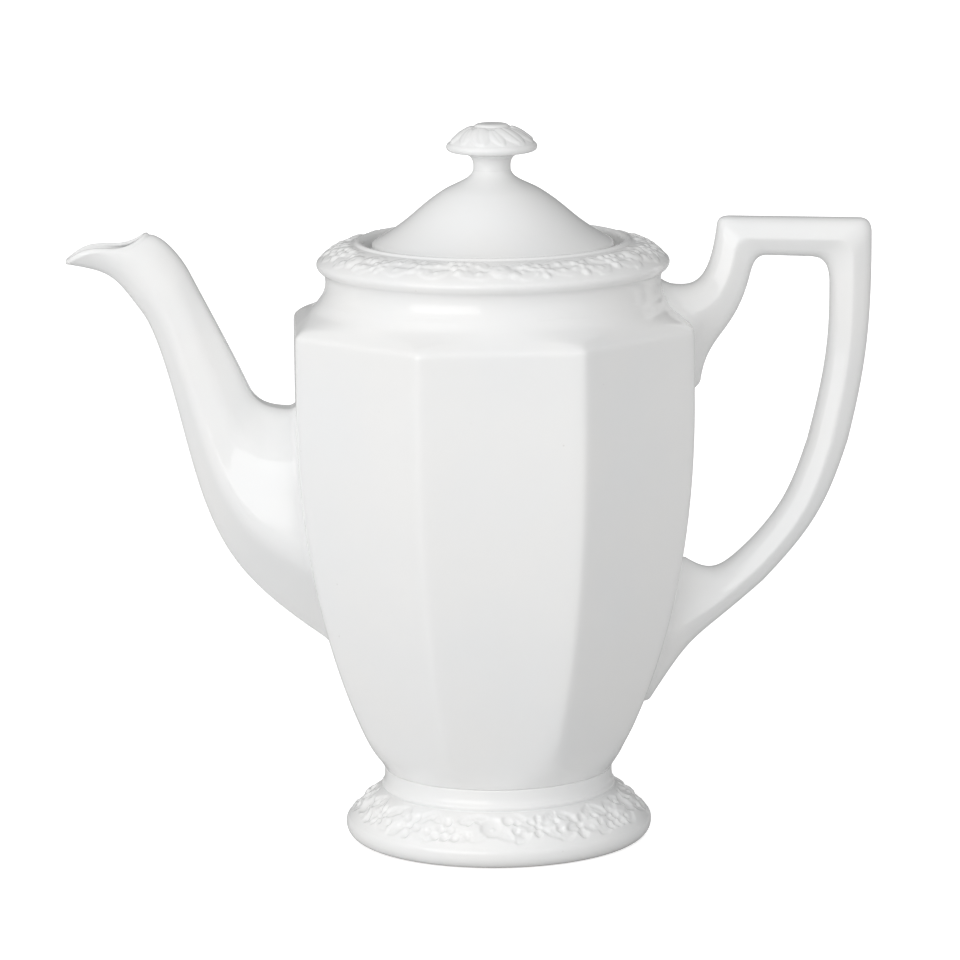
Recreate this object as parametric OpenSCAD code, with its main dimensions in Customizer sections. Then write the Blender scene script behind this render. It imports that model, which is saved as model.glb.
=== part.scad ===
// Porcelain coffee pot: an eight-sided barrel on a round foot, with a tall
// curved spout, an angular handle and a lift-off lid with a mushroom knob.
// Millimetres. Z is up, Z = 0 is the table, and the Z axis is the pot's own axis.
// The spout points to -X and the handle to +X.

/* [Barrel] */
// Distance between opposite flat panels at the widest point
across_flats = 119; // [115:1:122]
// How far the soft vertical edges stand out, as a share of the flat's distance
edge_ratio = 1.055; // [1.05:0.005:1.065]
// Thickness of the cast porcelain wall
wall = 4; // [3:0.5:4.5]
// Height of the seam between the barrel and the foot
seam_z = 22; // [20:1:24]
// Radius of the barrel where it meets the foot
base_r = 35; // [34:0.5:36]
// Height at which the barrel reaches its full width
full_z = 138; // [132:1:142]
// Height at which the shoulder starts to turn in
shoulder_z = 155; // [152:1:156]

/* [Rim and gallery] */
// Outer radius of the round neck under the rim
neck_r = 50.8; // [50:0.2:51.6]
// Height of the neck where the rim flares out of it
neck_z = 171; // [170:0.5:172]
// Outer radius of the rim
rim_r = 53.4; // [53:0.2:55]
// Height of the rim's inner edge, its highest line
rim_z = 184.8; // [184:0.2:186]
// Radius of the mouth, measured at the rim's inner edge
mouth_r = 39.4; // [39:0.2:40.4]
// Depth of the gallery that the lid sits in
gallery_depth = 3.6; // [3:0.2:4.2]
// Radius of the opening through the gallery's ledge
ledge_r = 33.2; // [33:0.1:34]

/* [Foot] */
// Outer radius of the smooth bead at the bottom of the foot
foot_r = 47.2; // [45:0.2:49]
// Inner radius of the ring that stands on the table
foot_ring_r = 38.6; // [37:0.2:40]

/* [Spout] */
// How far the lip's tip stands out from the barrel's flat panel
spout_reach = 69.1; // [66:0.5:72]
// Half of the spout's width where it leaves the barrel
spout_root_w = 18.5; // [16:0.5:20]
// Half of the spout's width at the lip
spout_lip_w = 6.4; // [5.5:0.1:7.5]
// Thickness of the spout's wall at the root
spout_wall = 3.2; // [2.6:0.1:3.6]
// Thickness of the spout's wall at the lip
lip_wall = 1.8; // [1.5:0.1:2.2]

/* [Strainer behind the spout] */
// Diameter of one strainer hole
hole_d = 5; // [4:0.5:6]
// Distance from the middle hole to the holes around it
hole_pitch = 9; // [8:0.5:10]
// Height of the middle hole
hole_z = 98; // [94:1:102]
// Number of holes around the middle one
hole_count = 6; // [4:1:6]

/* [Handle] */
// How far the handle stands out from the barrel's flat panel
handle_reach = 56; // [52:0.5:60]
// Half of the handle's width at its upper root
handle_root_w = 10.5; // [9:0.5:12]
// Half of the handle's width along the grip
grip_w = 6.8; // [6:0.1:8]

/* [Lid] */
// Radius of the lid's edge
lid_r = 36.6; // [36:0.1:37]
// Thickness of the lid's edge
lid_edge = 3.2; // [2.6:0.1:3.6]
// Radius of the flange that locates the lid in the mouth
flange_r = 32; // [31.4:0.1:32.4]
// Thickness of the flange
flange_wall = 3.2; // [2.6:0.1:3.6]
// Length of the flange below the gallery's ledge
flange_len = 10; // [8:0.5:12]
// Diameter of the steam vent through the lid
vent_d = 3; // [2:0.5:4]
// Width of the retaining lug on the flange
lug_w = 9; // [7:0.5:10]
// How far the lug stands out from the flange
lug_out = 4.2; // [3.4:0.2:4.4]

/* [Knob] */
// Radius of the mushroom knob at its widest
knob_r = 13.9; // [12.5:0.1:15]
// Radius of the knob's neck, where it is luted to the lid
knob_neck_r = 5.7; // [5.2:0.1:6.2]
// Height of the seam between the lid and the knob
knob_seam_z = 206; // [205:0.5:207]
// Overall height of the pot, to the top of the knob
total_h = 220; // [219:0.5:222]

/* [Hidden] */
$fn = 96;

porcelain = [0.95, 0.95, 0.94];
half_flats = across_flats / 2;
ledge_z = rim_z - gallery_depth;
flange_z = ledge_z - flange_len;
// Thickness of the ledge that carries the lid
ledge_t = 4;
// Floor of the coffee space above the seam, as a multiple of the wall
floor_ratio = 1.25;
// Steps along one curve of an outline
curve_n = 12;
// Half of the angle that a soft edge takes up, seen from the axis
edge_deg = 5.5;
// How far the barrel's top stands outside the neck, so that the neck is buried in it
sink = 0.5;
// Steps along one curve of the spout or handle, and corners round their sections
loft_n = 8;
ring_n = 18;
// How far a root runs on into the barrel before it is trimmed to the barrel's face
root_in = 7;
// A cut runs past the face it opens by this much
past = 0.5;
// Reach at which the points of the spout's and the handle's outlines are written
spout_drawn = 69.1;
handle_drawn = 56;
// Spacing between the lug and the sides of its notch
lug_gap = 1.5;

// ---------- curves ----------

// Points of a cubic curve from p[0] to p[3], without the last one
function curve(p, n) = [
    for (i = [0 : n - 1]) let (t = i / n, s = 1 - t)
        s * s * s * p[0] + 3 * s * s * t * p[1] + 3 * s * t * t * p[2] + t * t * t * p[3]
];

// Points of several cubic curves joined end to end, with the last one
function chain(curves, n) =
    concat([for (c = curves) each curve(c, n)], [curves[len(curves) - 1][3]]);

// A straight run, written as a cubic curve
function straight(a, b) = [a, a + (b - a) / 3, b - (b - a) / 3, b];

// A value that runs evenly through the list v as t goes from 0 to 1
function along(v, t) =
    let (s = t * (len(v) - 1), i = min(floor(s), len(v) - 2))
        v[i] + (v[i + 1] - v[i]) * (s - i);

// ---------- skins ----------

// Closed solid through rows of n points each, with flat ends
module skin(points, n) {
    rows = len(points) / n;
    sides = [
        for (i = [0 : rows - 2], k = [0 : n - 1])
            let (j = (k + 1) % n)
                [i * n + k, i * n + j, (i + 1) * n + j, (i + 1) * n + k]
    ];
    first = [for (k = [0 : n - 1]) n - 1 - k];
    last = [for (k = [0 : n - 1]) (rows - 1) * n + k];
    polyhedron(points = points, faces = concat([first], sides, [last]));
}

// Corners of one oval section between the points a and b of the XZ plane, w wide each way in Y
function section(a, b, w) = [
    for (k = [0 : ring_n - 1])
        let (m = (a + b) / 2 + (a - b) / 2 * cos(360 * k / ring_n))
            [m.x, w * sin(360 * k / ring_n), m.y]
];

// Solid through one oval section for each pair of points
module loft(a, b, w) {
    skin([for (i = [0 : len(a) - 1]) each section(a[i], b[i], w[i])], ring_n);
}

// ---------- barrel ----------

// Outline of the barrel's side from the seam to the neck, moved in by inset
function side_outline(inset) = chain([
    [[base_r - inset, seam_z + floor_ratio * inset], [half_flats - 6.5 - inset, seam_z + 36],
     [half_flats - inset, full_z - 40], [half_flats - inset, full_z]],
    [[half_flats - inset, shoulder_z - inset / 2], [half_flats - inset, neck_z - 1 - 1.2 * inset],
     [neck_r + sink - inset, neck_z - 7 - 1.2 * inset], [neck_r + sink - inset, neck_z - inset]]
], curve_n);

// Directions of the barrel's corners, each with its angle from the panel's middle
corners = [
    for (k = [0 : 7], d = [-22.5 + edge_deg, 0, 22.5 - edge_deg, 22.5])
        [45 * k + d, abs(d) == 22.5 ? acos(1 / edge_ratio) : d]
];

// The barrel's form moved in by inset: eight flat panels with soft edges, nearly round at both ends
module barrel(inset) {
    side = side_outline(inset);
    last = len(side) - 1;
    skin([
        for (i = [0 : last], c = corners)
            let (flat = along([0.25, 1, 1, 1, 0], i / last),
                 r = side[i].x * (1 + flat * (1 / cos(c[1]) - 1)))
                [r * cos(c[0]), -r * sin(c[0]), side[i].y]
    ], len(corners));
}

// ---------- neck, rim and gallery ----------

// The rim and the neck under it, as a solid without its bore
module rim_solid() {
    outline = chain([
        [[neck_r - 0.3, neck_z - 0.5], [neck_r + 0.9, neck_z + 4.2],
         [rim_r - 1.6, neck_z + 3], [rim_r, neck_z + 6.2]],
        [[rim_r, neck_z + 6.2], [rim_r, neck_z + 8], [rim_r - 1.2, neck_z + 8.5],
         [rim_r - 1.9, neck_z + 8.8]],
        [[rim_r - 1.9, neck_z + 8.8], [rim_r - 3.8, rim_z - 1.3], [mouth_r + 4.8, rim_z - 0.8],
         [mouth_r + 0.3, rim_z]]
    ], curve_n);
    rotate_extrude()
        polygon(concat([[0, neck_z - 6], [neck_r - 0.3, neck_z - 6]], outline, [[0, rim_z]]));
}

// What is cut out of the rim: the mouth, the gallery, the opening through its ledge and the throat
module rim_bore() {
    throat = curve([[ledge_r, ledge_z - ledge_t], [ledge_r + 7, ledge_z - ledge_t],
                    [neck_r - wall, ledge_z - 6], [neck_r - wall, neck_z - 5]], curve_n);
    rotate_extrude()
        polygon(concat(
            [[0, rim_z + past], [mouth_r, rim_z + past], [mouth_r, ledge_z], [ledge_r, ledge_z]],
            throat, [[neck_r - wall, neck_z - 3 * wall], [0, neck_z - 3 * wall]]
        ));
}

// Cut through the ledge that lets the lid's lug pass
module lug_notch() {
    translate([-lug_w / 2 - lug_gap, ledge_r - 2, ledge_z - ledge_t - 2])
        cube([lug_w + 2 * lug_gap, lug_out + 2.6, ledge_t + 2 + past]);
}

module strainer_holes() {
    translate([-half_flats - past, 0, hole_z])
        rotate([0, 90, 0])
            for (k = [0 : hole_count])
                rotate([0, 0, k * 360 / hole_count])
                    translate([k == 0 ? 0 : hole_pitch, 0, 0])
                        cylinder(d = hole_d, h = 4 * wall, $fn = 48);
}

module body() {
    color(porcelain)
    difference() {
        union() {
            barrel(0);
            rim_solid();
        }
        barrel(wall);
        rim_bore();
        lug_notch();
        strainer_holes();
    }
}

// ---------- foot ----------

module foot() {
    outside = chain([
        [[base_r - 0.3, 18.8], [base_r + 5.2, 12.3], [foot_r - 4.8, 12.7], [foot_r - 0.8, 6]],
        [[foot_r - 0.8, 6], [foot_r + 1.2, 1.9], [foot_r - 3.3, 0], [foot_r - 5.1, 0]]
    ], curve_n);
    inside = chain([
        [[foot_ring_r - 1, 1.6], [foot_ring_r - 5, 9], [base_r - 6, 12], [base_r - 6, seam_z]]
    ], curve_n);
    color(porcelain)
        rotate_extrude()
            polygon(concat([[base_r, seam_z]], outside, [[foot_ring_r, 0]], inside));
}

// ---------- spout ----------

// A point of the spout's outline: x out from the barrel's panel, then z
function spout_at(x, z) = [-half_flats - x * spout_reach / spout_drawn, z];

// The lower and outer edge of the spout, from the root to the tip of the lip
spout_front = [
    [spout_at(-8.4, 62.4), spout_at(18.5, 81.6), spout_at(25.2, 91.6), spout_at(32.4, 119.2)],
    [spout_at(32.4, 119.2), spout_at(35.8, 132.2), spout_at(40.5, 157.6), spout_at(46, 165.2)],
    [spout_at(46, 165.2), spout_at(54.6, 177.1), spout_at(53.4, 177.8), spout_at(69.1, 180.3)]
];

// The upper and inner edge of the spout, from the root to the back of the mouth
spout_back = [
    [spout_at(0.5, 135.2), spout_at(8.1, 135), spout_at(12.7, 136), spout_at(15.1, 141.3)],
    [spout_at(15.1, 141.3), spout_at(20.6, 153.5), spout_at(25.9, 163.3), spout_at(32.6, 176.8)],
    [spout_at(32.6, 176.8), spout_at(33.9, 178.4), spout_at(40.9, 188.1), spout_at(44.1, 188.1)]
];

// Half widths in Y at even steps from the root to the lip
spout_widths = [spout_root_w, 0.8 * spout_root_w, 11, 9.6, 8.3, 7.4, spout_lip_w];

// The spout's form made smaller by w_root at the root and w_lip at the lip
module spout_form(w_root, w_lip, extra) {
    front = chain(spout_front, loft_n);
    back = chain(spout_back, loft_n);
    last = len(front) - 1;
    cut = [for (i = [0 : last]) along([w_root, w_lip], i / last)];
    dir = [for (i = [0 : last]) (back[i] - front[i]) / norm(back[i] - front[i])];
    a = [for (i = [0 : last]) front[i] + dir[i] * cut[i]];
    b = [for (i = [0 : last]) back[i] - dir[i] * cut[i]];
    w = [for (i = [0 : last]) along(spout_widths, i / last) - cut[i]];
    inward = [root_in + extra, 0];
    outward = [-dir[last].y, dir[last].x] * extra;
    loft(
        concat([a[0] + inward], a, extra > 0 ? [a[last] + outward] : []),
        concat([b[0] + inward], b, extra > 0 ? [b[last] + outward] : []),
        concat([w[0]], w, extra > 0 ? [w[last]] : [])
    );
}

module spout() {
    color(porcelain)
        difference() {
            spout_form(0, 0, 0);
            spout_form(spout_wall, lip_wall, past);
            barrel(0);
        }
}

// ---------- handle ----------

// A point of the handle's outline: x out from the barrel's panel, then z
function handle_at(x, z) = [half_flats + x * handle_reach / handle_drawn, z];

// The outer edge: up from the neck, along the top bar, down the grip to the lower leaf
handle_outer = [
    [handle_at(-8.5, 170.5), handle_at(-0.5, 169.8), handle_at(6.1, 166.5), handle_at(8.8, 187.5)],
    [handle_at(8.8, 187.5), handle_at(9, 190), handle_at(10, 190.8), handle_at(12.5, 190.8)],
    straight(handle_at(12.5, 190.8), handle_at(52.5, 189.4)),
    [handle_at(52.5, 189.4), handle_at(54.8, 189.3), handle_at(55.8, 188.2), handle_at(56, 185.5)],
    [handle_at(56, 185.5), handle_at(56, 157), handle_at(54.2, 144), handle_at(48.6, 121.3)],
    [handle_at(48.6, 121.3), handle_at(41.9, 101.5), handle_at(37.8, 94.5), handle_at(22.2, 78.1)],
    [handle_at(22.2, 78.1), handle_at(-0.9, 58), handle_at(1.7, 64.1), handle_at(-12.4, 42.1)]
];

// The inner edge: up from the upper leaf, along the bar's underside, down to the lower root
handle_inner = [
    [handle_at(2.9, 139.5), handle_at(9.4, 161.2), handle_at(12.6, 153), handle_at(18.4, 173.1)],
    [handle_at(18.4, 173.1), handle_at(19.5, 176.8), handle_at(20.3, 178.6), handle_at(23.5, 178.6)],
    straight(handle_at(23.5, 178.6), handle_at(38, 178.2)),
    [handle_at(38, 178.2), handle_at(41.5, 177.6), handle_at(43.2, 176), handle_at(43.2, 171.5)],
    [handle_at(43.2, 171.5), handle_at(43.2, 152.3), handle_at(42.2, 143.6), handle_at(36.3, 121.5)],
    [handle_at(36.3, 121.5), handle_at(31.9, 108.4), handle_at(29.8, 103.2), handle_at(18.5, 90.7)],
    [handle_at(18.5, 90.7), handle_at(5.1, 80.6), handle_at(7.5, 80.5), handle_at(-1.5, 85.5)]
];

// Half widths in Y at even steps from the upper root to the lower one
handle_widths = [handle_root_w, grip_w, grip_w, grip_w, grip_w, grip_w, grip_w, 0.9 * handle_root_w];

module handle() {
    outer = chain(handle_outer, loft_n);
    inner = chain(handle_inner, loft_n);
    last = len(outer) - 1;
    inward = [-root_in, 0];
    widths = [for (i = [0 : last]) along(handle_widths, i / last)];
    color(porcelain)
        difference() {
            loft(
                concat([outer[0] + inward], outer, [outer[last] + inward]),
                concat([inner[0] + inward], inner, [inner[last] + inward]),
                concat([widths[0]], widths, [widths[last]])
            );
            barrel(0);
            translate([0, 0, shoulder_z]) cylinder(r = neck_r, h = neck_z + 2 - shoulder_z);
        }
}

// ---------- lid ----------

module lid() {
    dome = chain([
        [[lid_r - 0.1, ledge_z + lid_edge - 0.3], [lid_r - 12.9, 191.2], [24.4, 193.8], [15.2, 200]],
        [[15.2, 200], [11.5, 201.6], [knob_neck_r, knob_seam_z - 2.6], [knob_neck_r, knob_seam_z]]
    ], curve_n);
    under = curve([
        [4, 197], [15, 196.5], [flange_r - flange_wall - 2.8, 189.5],
        [flange_r - flange_wall, ledge_z + 0.8]
    ], curve_n);
    color(porcelain)
        difference() {
            rotate_extrude()
                polygon(concat(
                    [[lid_r - 0.6, ledge_z], [lid_r, ledge_z + 0.6],
                     [lid_r, ledge_z + lid_edge - 0.8]],
                    dome, [[0, knob_seam_z], [0, 197]], under,
                    [[flange_r - flange_wall, flange_z], [flange_r, flange_z],
                     [flange_r, ledge_z]]
                ));
            translate([0, lid_r * 0.6, ledge_z]) cylinder(d = vent_d, h = lid_r, $fn = 32);
        }
}

// Nub under the flange that keeps the lid from falling out when the pot is tipped
module lid_lug() {
    color(porcelain)
        difference() {
            intersection() {
                translate([-lug_w / 2, flange_r - 1, flange_z + 0.5])
                    cube([lug_w, lug_out + 1, ledge_z - ledge_t - flange_z - 1.5]);
                cylinder(r = flange_r + lug_out, h = rim_z);
            }
            cylinder(r = flange_r, h = rim_z);
        }
}

module lid_knob() {
    outline = chain([
        [[knob_neck_r, knob_seam_z], [knob_neck_r, knob_seam_z + 4.5],
         [knob_r - 4.4, knob_seam_z + 5], [knob_r - 0.5, knob_seam_z + 6.8]],
        [[knob_r - 0.5, knob_seam_z + 6.8], [knob_r + 0.2, knob_seam_z + 7.3],
         [knob_r, knob_seam_z + 7.8], [knob_r - 0.5, knob_seam_z + 8.5]],
        [[knob_r - 0.5, knob_seam_z + 8.5], [knob_r - 2.8, knob_seam_z + 11],
         [7.4, total_h - 1], [5.6, total_h - 0.3]]
    ], curve_n);
    color(porcelain)
        rotate_extrude()
            polygon(concat(outline, [[4.6, total_h], [0, total_h], [0, knob_seam_z]]));
}

body();
foot();
spout();
handle();
lid();
lid_lug();
lid_knob();
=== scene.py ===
# Looks of a white porcelain coffee pot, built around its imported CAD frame.
# Shapes are worked out in millimetres and turned into metres when a mesh is made.

import math

import bpy
import numpy as np
from mathutils import Matrix, Vector


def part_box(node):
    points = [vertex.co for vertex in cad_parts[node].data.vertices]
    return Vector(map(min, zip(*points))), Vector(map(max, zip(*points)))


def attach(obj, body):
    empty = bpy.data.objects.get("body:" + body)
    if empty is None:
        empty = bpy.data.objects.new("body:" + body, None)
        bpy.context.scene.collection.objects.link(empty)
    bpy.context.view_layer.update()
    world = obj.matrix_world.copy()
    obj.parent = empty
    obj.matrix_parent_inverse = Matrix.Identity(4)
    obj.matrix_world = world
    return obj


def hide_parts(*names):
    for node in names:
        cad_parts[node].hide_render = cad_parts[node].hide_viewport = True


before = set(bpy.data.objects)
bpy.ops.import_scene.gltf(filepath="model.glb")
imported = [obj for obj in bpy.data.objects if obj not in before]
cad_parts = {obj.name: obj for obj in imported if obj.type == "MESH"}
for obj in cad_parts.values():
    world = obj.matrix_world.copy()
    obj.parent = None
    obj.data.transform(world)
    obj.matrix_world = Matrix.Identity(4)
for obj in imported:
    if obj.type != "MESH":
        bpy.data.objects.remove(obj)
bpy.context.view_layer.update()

MM = 1000.0


def corner_mm(node, high):
    """Lowest or highest corner of a CAD node, in millimetres."""
    return [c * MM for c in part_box(node)[1 if high else 0]]


# ---------- driving sizes, in millimetres ----------

# Outer sizes come from the CAD boxes. The others repeat the CAD source, but for the height of the crease
# and the barrel's width and lean, which are fitted to the looks.

HALF_FLATS = corner_mm("body", True)[1]
SEAM_Z = corner_mm("body", False)[2]
RIM_Z = corner_mm("body", True)[2]
BASE_R = 35.0
FULL_Z = 138.0
CREASE_Z = 160.1
NECK_R = 50.8
NECK_Z = 171.0
BARREL_R = HALF_FLATS + 0.35
BARREL_LEAN = 0.6
WALL = 4.0
FLOOR_UP = 5.0

RIM_R = NECK_R + 2.6
LEDGE_Z = RIM_Z - 3.6
LEDGE_R = 33.2
LEDGE_T = 4.0
MOUTH_R = 39.4

FOOT_R = corner_mm("foot", True)[0]

SPOUT_TIP_X = corner_mm("spout", False)[0]
HANDLE_FAR_X = corner_mm("handle", True)[0]

LID_R = corner_mm("lid", True)[0]
FLANGE_Z = corner_mm("lid", False)[2]
FLANGE_R = 32.0
FLANGE_WALL = 3.2
LID_EDGE = 3.2

KNOB_R = corner_mm("lid_knob", True)[0]
KNOB_SEAM_Z = corner_mm("lid_knob", False)[2]
TOP_Z = corner_mm("lid_knob", True)[2]
KNOB_NECK_R = 5.7

# The strainer holes behind the spout, and the steam vent, placed at a share of the lid's radius
STRAINER_Z = 98.0
STRAINER_PITCH = 9.0
STRAINER_HOLE_R = 2.5
VENT_R = 1.5
VENT_AT = 0.6

# How far out the spout and the handle reach as their outlines are written below
SPOUT_REACH = 69.1
HANDLE_REACH = 56.0

# Columns round a turned piece, and how many times finer the bands in relief are
COLUMNS = 360
FINE = 3

# Times the reliefs are smoothed, as thick glaze smooths them
SOFTENING = 3

# Length of a step along a band in relief
RELIEF_STEP = 0.26

# Radius and depth of the dimple in a round fruit
PIT_R = 0.55
PIT_DEPTH = 0.40

# How much closer together the columns stand at the barrel's edges
CROWDING = 0.6


# ---------- curves ----------

def curve(p, n=24):
    """Points of a cubic curve through the control points p, both ends included."""
    p = np.array(p, float)
    t = np.linspace(0, 1, n + 1)[:, None]
    s = 1 - t
    return s**3 * p[0] + 3 * s * s * t * p[1] + 3 * s * t * t * p[2] + t**3 * p[3]


def chain(start, curves, n=24):
    """Points of a line from start. Each curve holds two control points and its end, or only its end."""
    parts = []
    for steps in curves:
        if len(steps) == 1:
            a, b = np.array(start, float), np.array(steps[0], float)
            steps = [a + (b - a) / 3, b - (b - a) / 3, b]
        parts.append(curve([start, *steps], n)[:-1])
        start = steps[-1]
    return np.concatenate(parts + [np.array([start], float)])


def even(points, step):
    """The same line with its points about step apart."""
    points = np.array(points, float)
    run = np.concatenate([[0], np.cumsum(np.linalg.norm(np.diff(points, axis=0), axis=1))])
    at = np.linspace(0, run[-1], max(2, int(round(run[-1] / step)) + 1))
    return np.stack([np.interp(at, run, points[:, k]) for k in range(points.shape[1])], axis=1)


def smooth(t):
    """0 below 0, 1 above 1, and an even S between them."""
    t = np.clip(t, 0, 1)
    return t * t * (3 - 2 * t)


def side_normals(points):
    """Unit normals of a line in the plane, on its right-hand side."""
    d = np.gradient(points, axis=0)
    n = np.stack([d[:, 1], -d[:, 0]], axis=1)
    return n / np.linalg.norm(n, axis=1)[:, None]


# ---------- meshes ----------

def new_object(name, data):
    """An object with this data, in the scene."""
    made = bpy.data.objects.new(name, data)
    bpy.context.scene.collection.objects.link(made)
    return made


class Skin:
    """A closed surface made of rings, one after the other, each joined to the one before."""

    def __init__(self):
        self.points, self.faces, self.count = [], [], 0
        self.first = self.last = None

    def ring(self, points):
        ids = np.arange(self.count, self.count + len(points))
        self.points.append(np.asarray(points, float))
        self.count += len(points)
        if self.last is not None:
            self.join(self.last, ids)
        else:
            self.first = ids
        self.last = ids

    def join(self, a, b):
        """Faces between rings a and b. They have as many points, or one has three times as many (FINE),
        or one is a single point."""
        a1, b1 = np.roll(a, -1), np.roll(b, -1)
        if len(a) == len(b):
            self.faces.append(np.stack([a, a1, b1, b], axis=1))
        elif len(a) == 1:
            self.faces.append(np.stack([np.full(len(b), a[0]), b1, b], axis=1))
        elif len(b) == 1:
            self.faces.append(np.stack([a, a1, np.full(len(a), b[0])], axis=1))
        elif len(b) == FINE * len(a):
            self.faces.append(np.stack([a, b[1::FINE], b[0::FINE]], axis=1))
            self.faces.append(np.stack([a, a1, b[2::FINE], b[1::FINE]], axis=1))
            self.faces.append(np.stack([a1, np.roll(b, -FINE)[0::FINE], b[2::FINE]], axis=1))
        else:
            self.faces.append(np.stack([a[0::FINE], a[1::FINE], b], axis=1))
            self.faces.append(np.stack([a[1::FINE], a[2::FINE], b1, b], axis=1))
            self.faces.append(np.stack([a[2::FINE], np.roll(a, -FINE)[0::FINE], b1], axis=1))

    def close(self):
        """Joins the last ring to the first, for a hollow piece open at both ends."""
        self.join(self.last, self.first)

    def cap(self):
        """Closes both ends with a fan round the middle of each end ring."""
        first, last = self.points[0].mean(axis=0), self.points[-1].mean(axis=0)
        ends = np.array([self.count, self.count + 1])
        self.points.append(np.array([first, last]))
        self.count += 2
        self.join(ends[:1], self.first)
        self.join(self.last, ends[1:])

    def make(self, name):
        """The mesh object, in metres, facing outward and shaded smooth."""
        points = np.concatenate(self.points) / MM
        faces = [face for group in self.faces for face in group.tolist()]
        mesh = bpy.data.meshes.new(name)
        mesh.from_pydata(points.tolist(), [], faces)
        if signed_volume(points, self.faces) < 0:
            mesh.flip_normals()
        mesh.validate()
        mesh.shade_smooth()
        return new_object(name, mesh)


def signed_volume(points, groups):
    """Six times the volume inside the faces, negative if they face inward."""
    total = 0.0
    for faces in groups:
        a = points[faces[:, 0]]
        for k in range(1, faces.shape[1] - 1):
            total += np.einsum("ij,ij->i", a, np.cross(points[faces[:, k]], points[faces[:, k + 1]])).sum()
    return total


def turned(skin, profile, columns=COLUMNS, shape=None, push=None, crowd=None):
    """Adds one ring for each point (r, z) of the profile. shape(angle, z) multiplies the radius,
    push holds (normals, heights) to move the points out, and crowd(angle, z) moves the columns."""
    spaced = np.arange(columns) * 2 * math.pi / columns
    for i, (r, z) in enumerate(profile):
        angle = crowd(spaced, z) if crowd else spaced
        if r < 1e-6:
            skin.ring([[0, 0, z]])
            continue
        radius = np.full(columns, r) * (shape(angle, z) if shape else 1.0)
        height = np.full(columns, z)
        if push is not None:
            radius = radius + push[0][i, 0] * push[1][i]
            height = height + push[0][i, 1] * push[1][i]
        skin.ring(np.stack([radius * np.cos(angle), radius * np.sin(angle), height], axis=1))


def rounded_polygon(corners, share, arc=6, edge=4):
    """Points round a polygon whose corners are rounded over a share of each edge."""
    corners = np.array(corners, float)
    n = len(corners)
    points = []
    for i in range(n):
        before, here, after = corners[i - 1], corners[i], corners[(i + 1) % n]
        start, stop = here + (before - here) * share, here + (after - here) * share
        for k in range(arc + 1):
            t = k / arc
            points.append((1 - t) ** 2 * start + 2 * t * (1 - t) * here + t * t * stop)
        following = after + (here - after) * share
        for k in range(1, edge):
            points.append(stop + (following - stop) * k / edge)
    return np.array(points)


def cut(piece, cutters):
    """Cuts the cutters' shapes out of the piece and removes the cutters."""
    for cutter in cutters:
        modifier = piece.modifiers.new("cut", "BOOLEAN")
        modifier.operation = "DIFFERENCE"
        modifier.solver = "EXACT"
        modifier.object = cutter
    graph = bpy.context.evaluated_depsgraph_get()
    mesh = bpy.data.meshes.new_from_object(piece.evaluated_get(graph))
    piece.modifiers.clear()
    piece.data = mesh
    for cutter in cutters:
        bpy.data.objects.remove(cutter)
    mesh.set_sharp_from_angle(angle=math.radians(40))


def rod(name, start, stop, radius, n=32):
    """A round cutter from start to stop, in millimetres."""
    start, stop = np.array(start, float), np.array(stop, float)
    axis = (stop - start) / np.linalg.norm(stop - start)
    side = np.cross(axis, [0, 1, 0] if abs(axis[1]) < 0.9 else [1, 0, 0])
    side /= np.linalg.norm(side)
    up = np.cross(axis, side)
    angle = np.arange(n) * 2 * math.pi / n
    circle = radius * (np.cos(angle)[:, None] * side + np.sin(angle)[:, None] * up)
    skin = Skin()
    skin.ring(start + circle)
    skin.ring(stop + circle)
    skin.cap()
    return skin.make(name)


# ---------- relief: a garland of fruit, blossoms and leaves ----------

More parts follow.
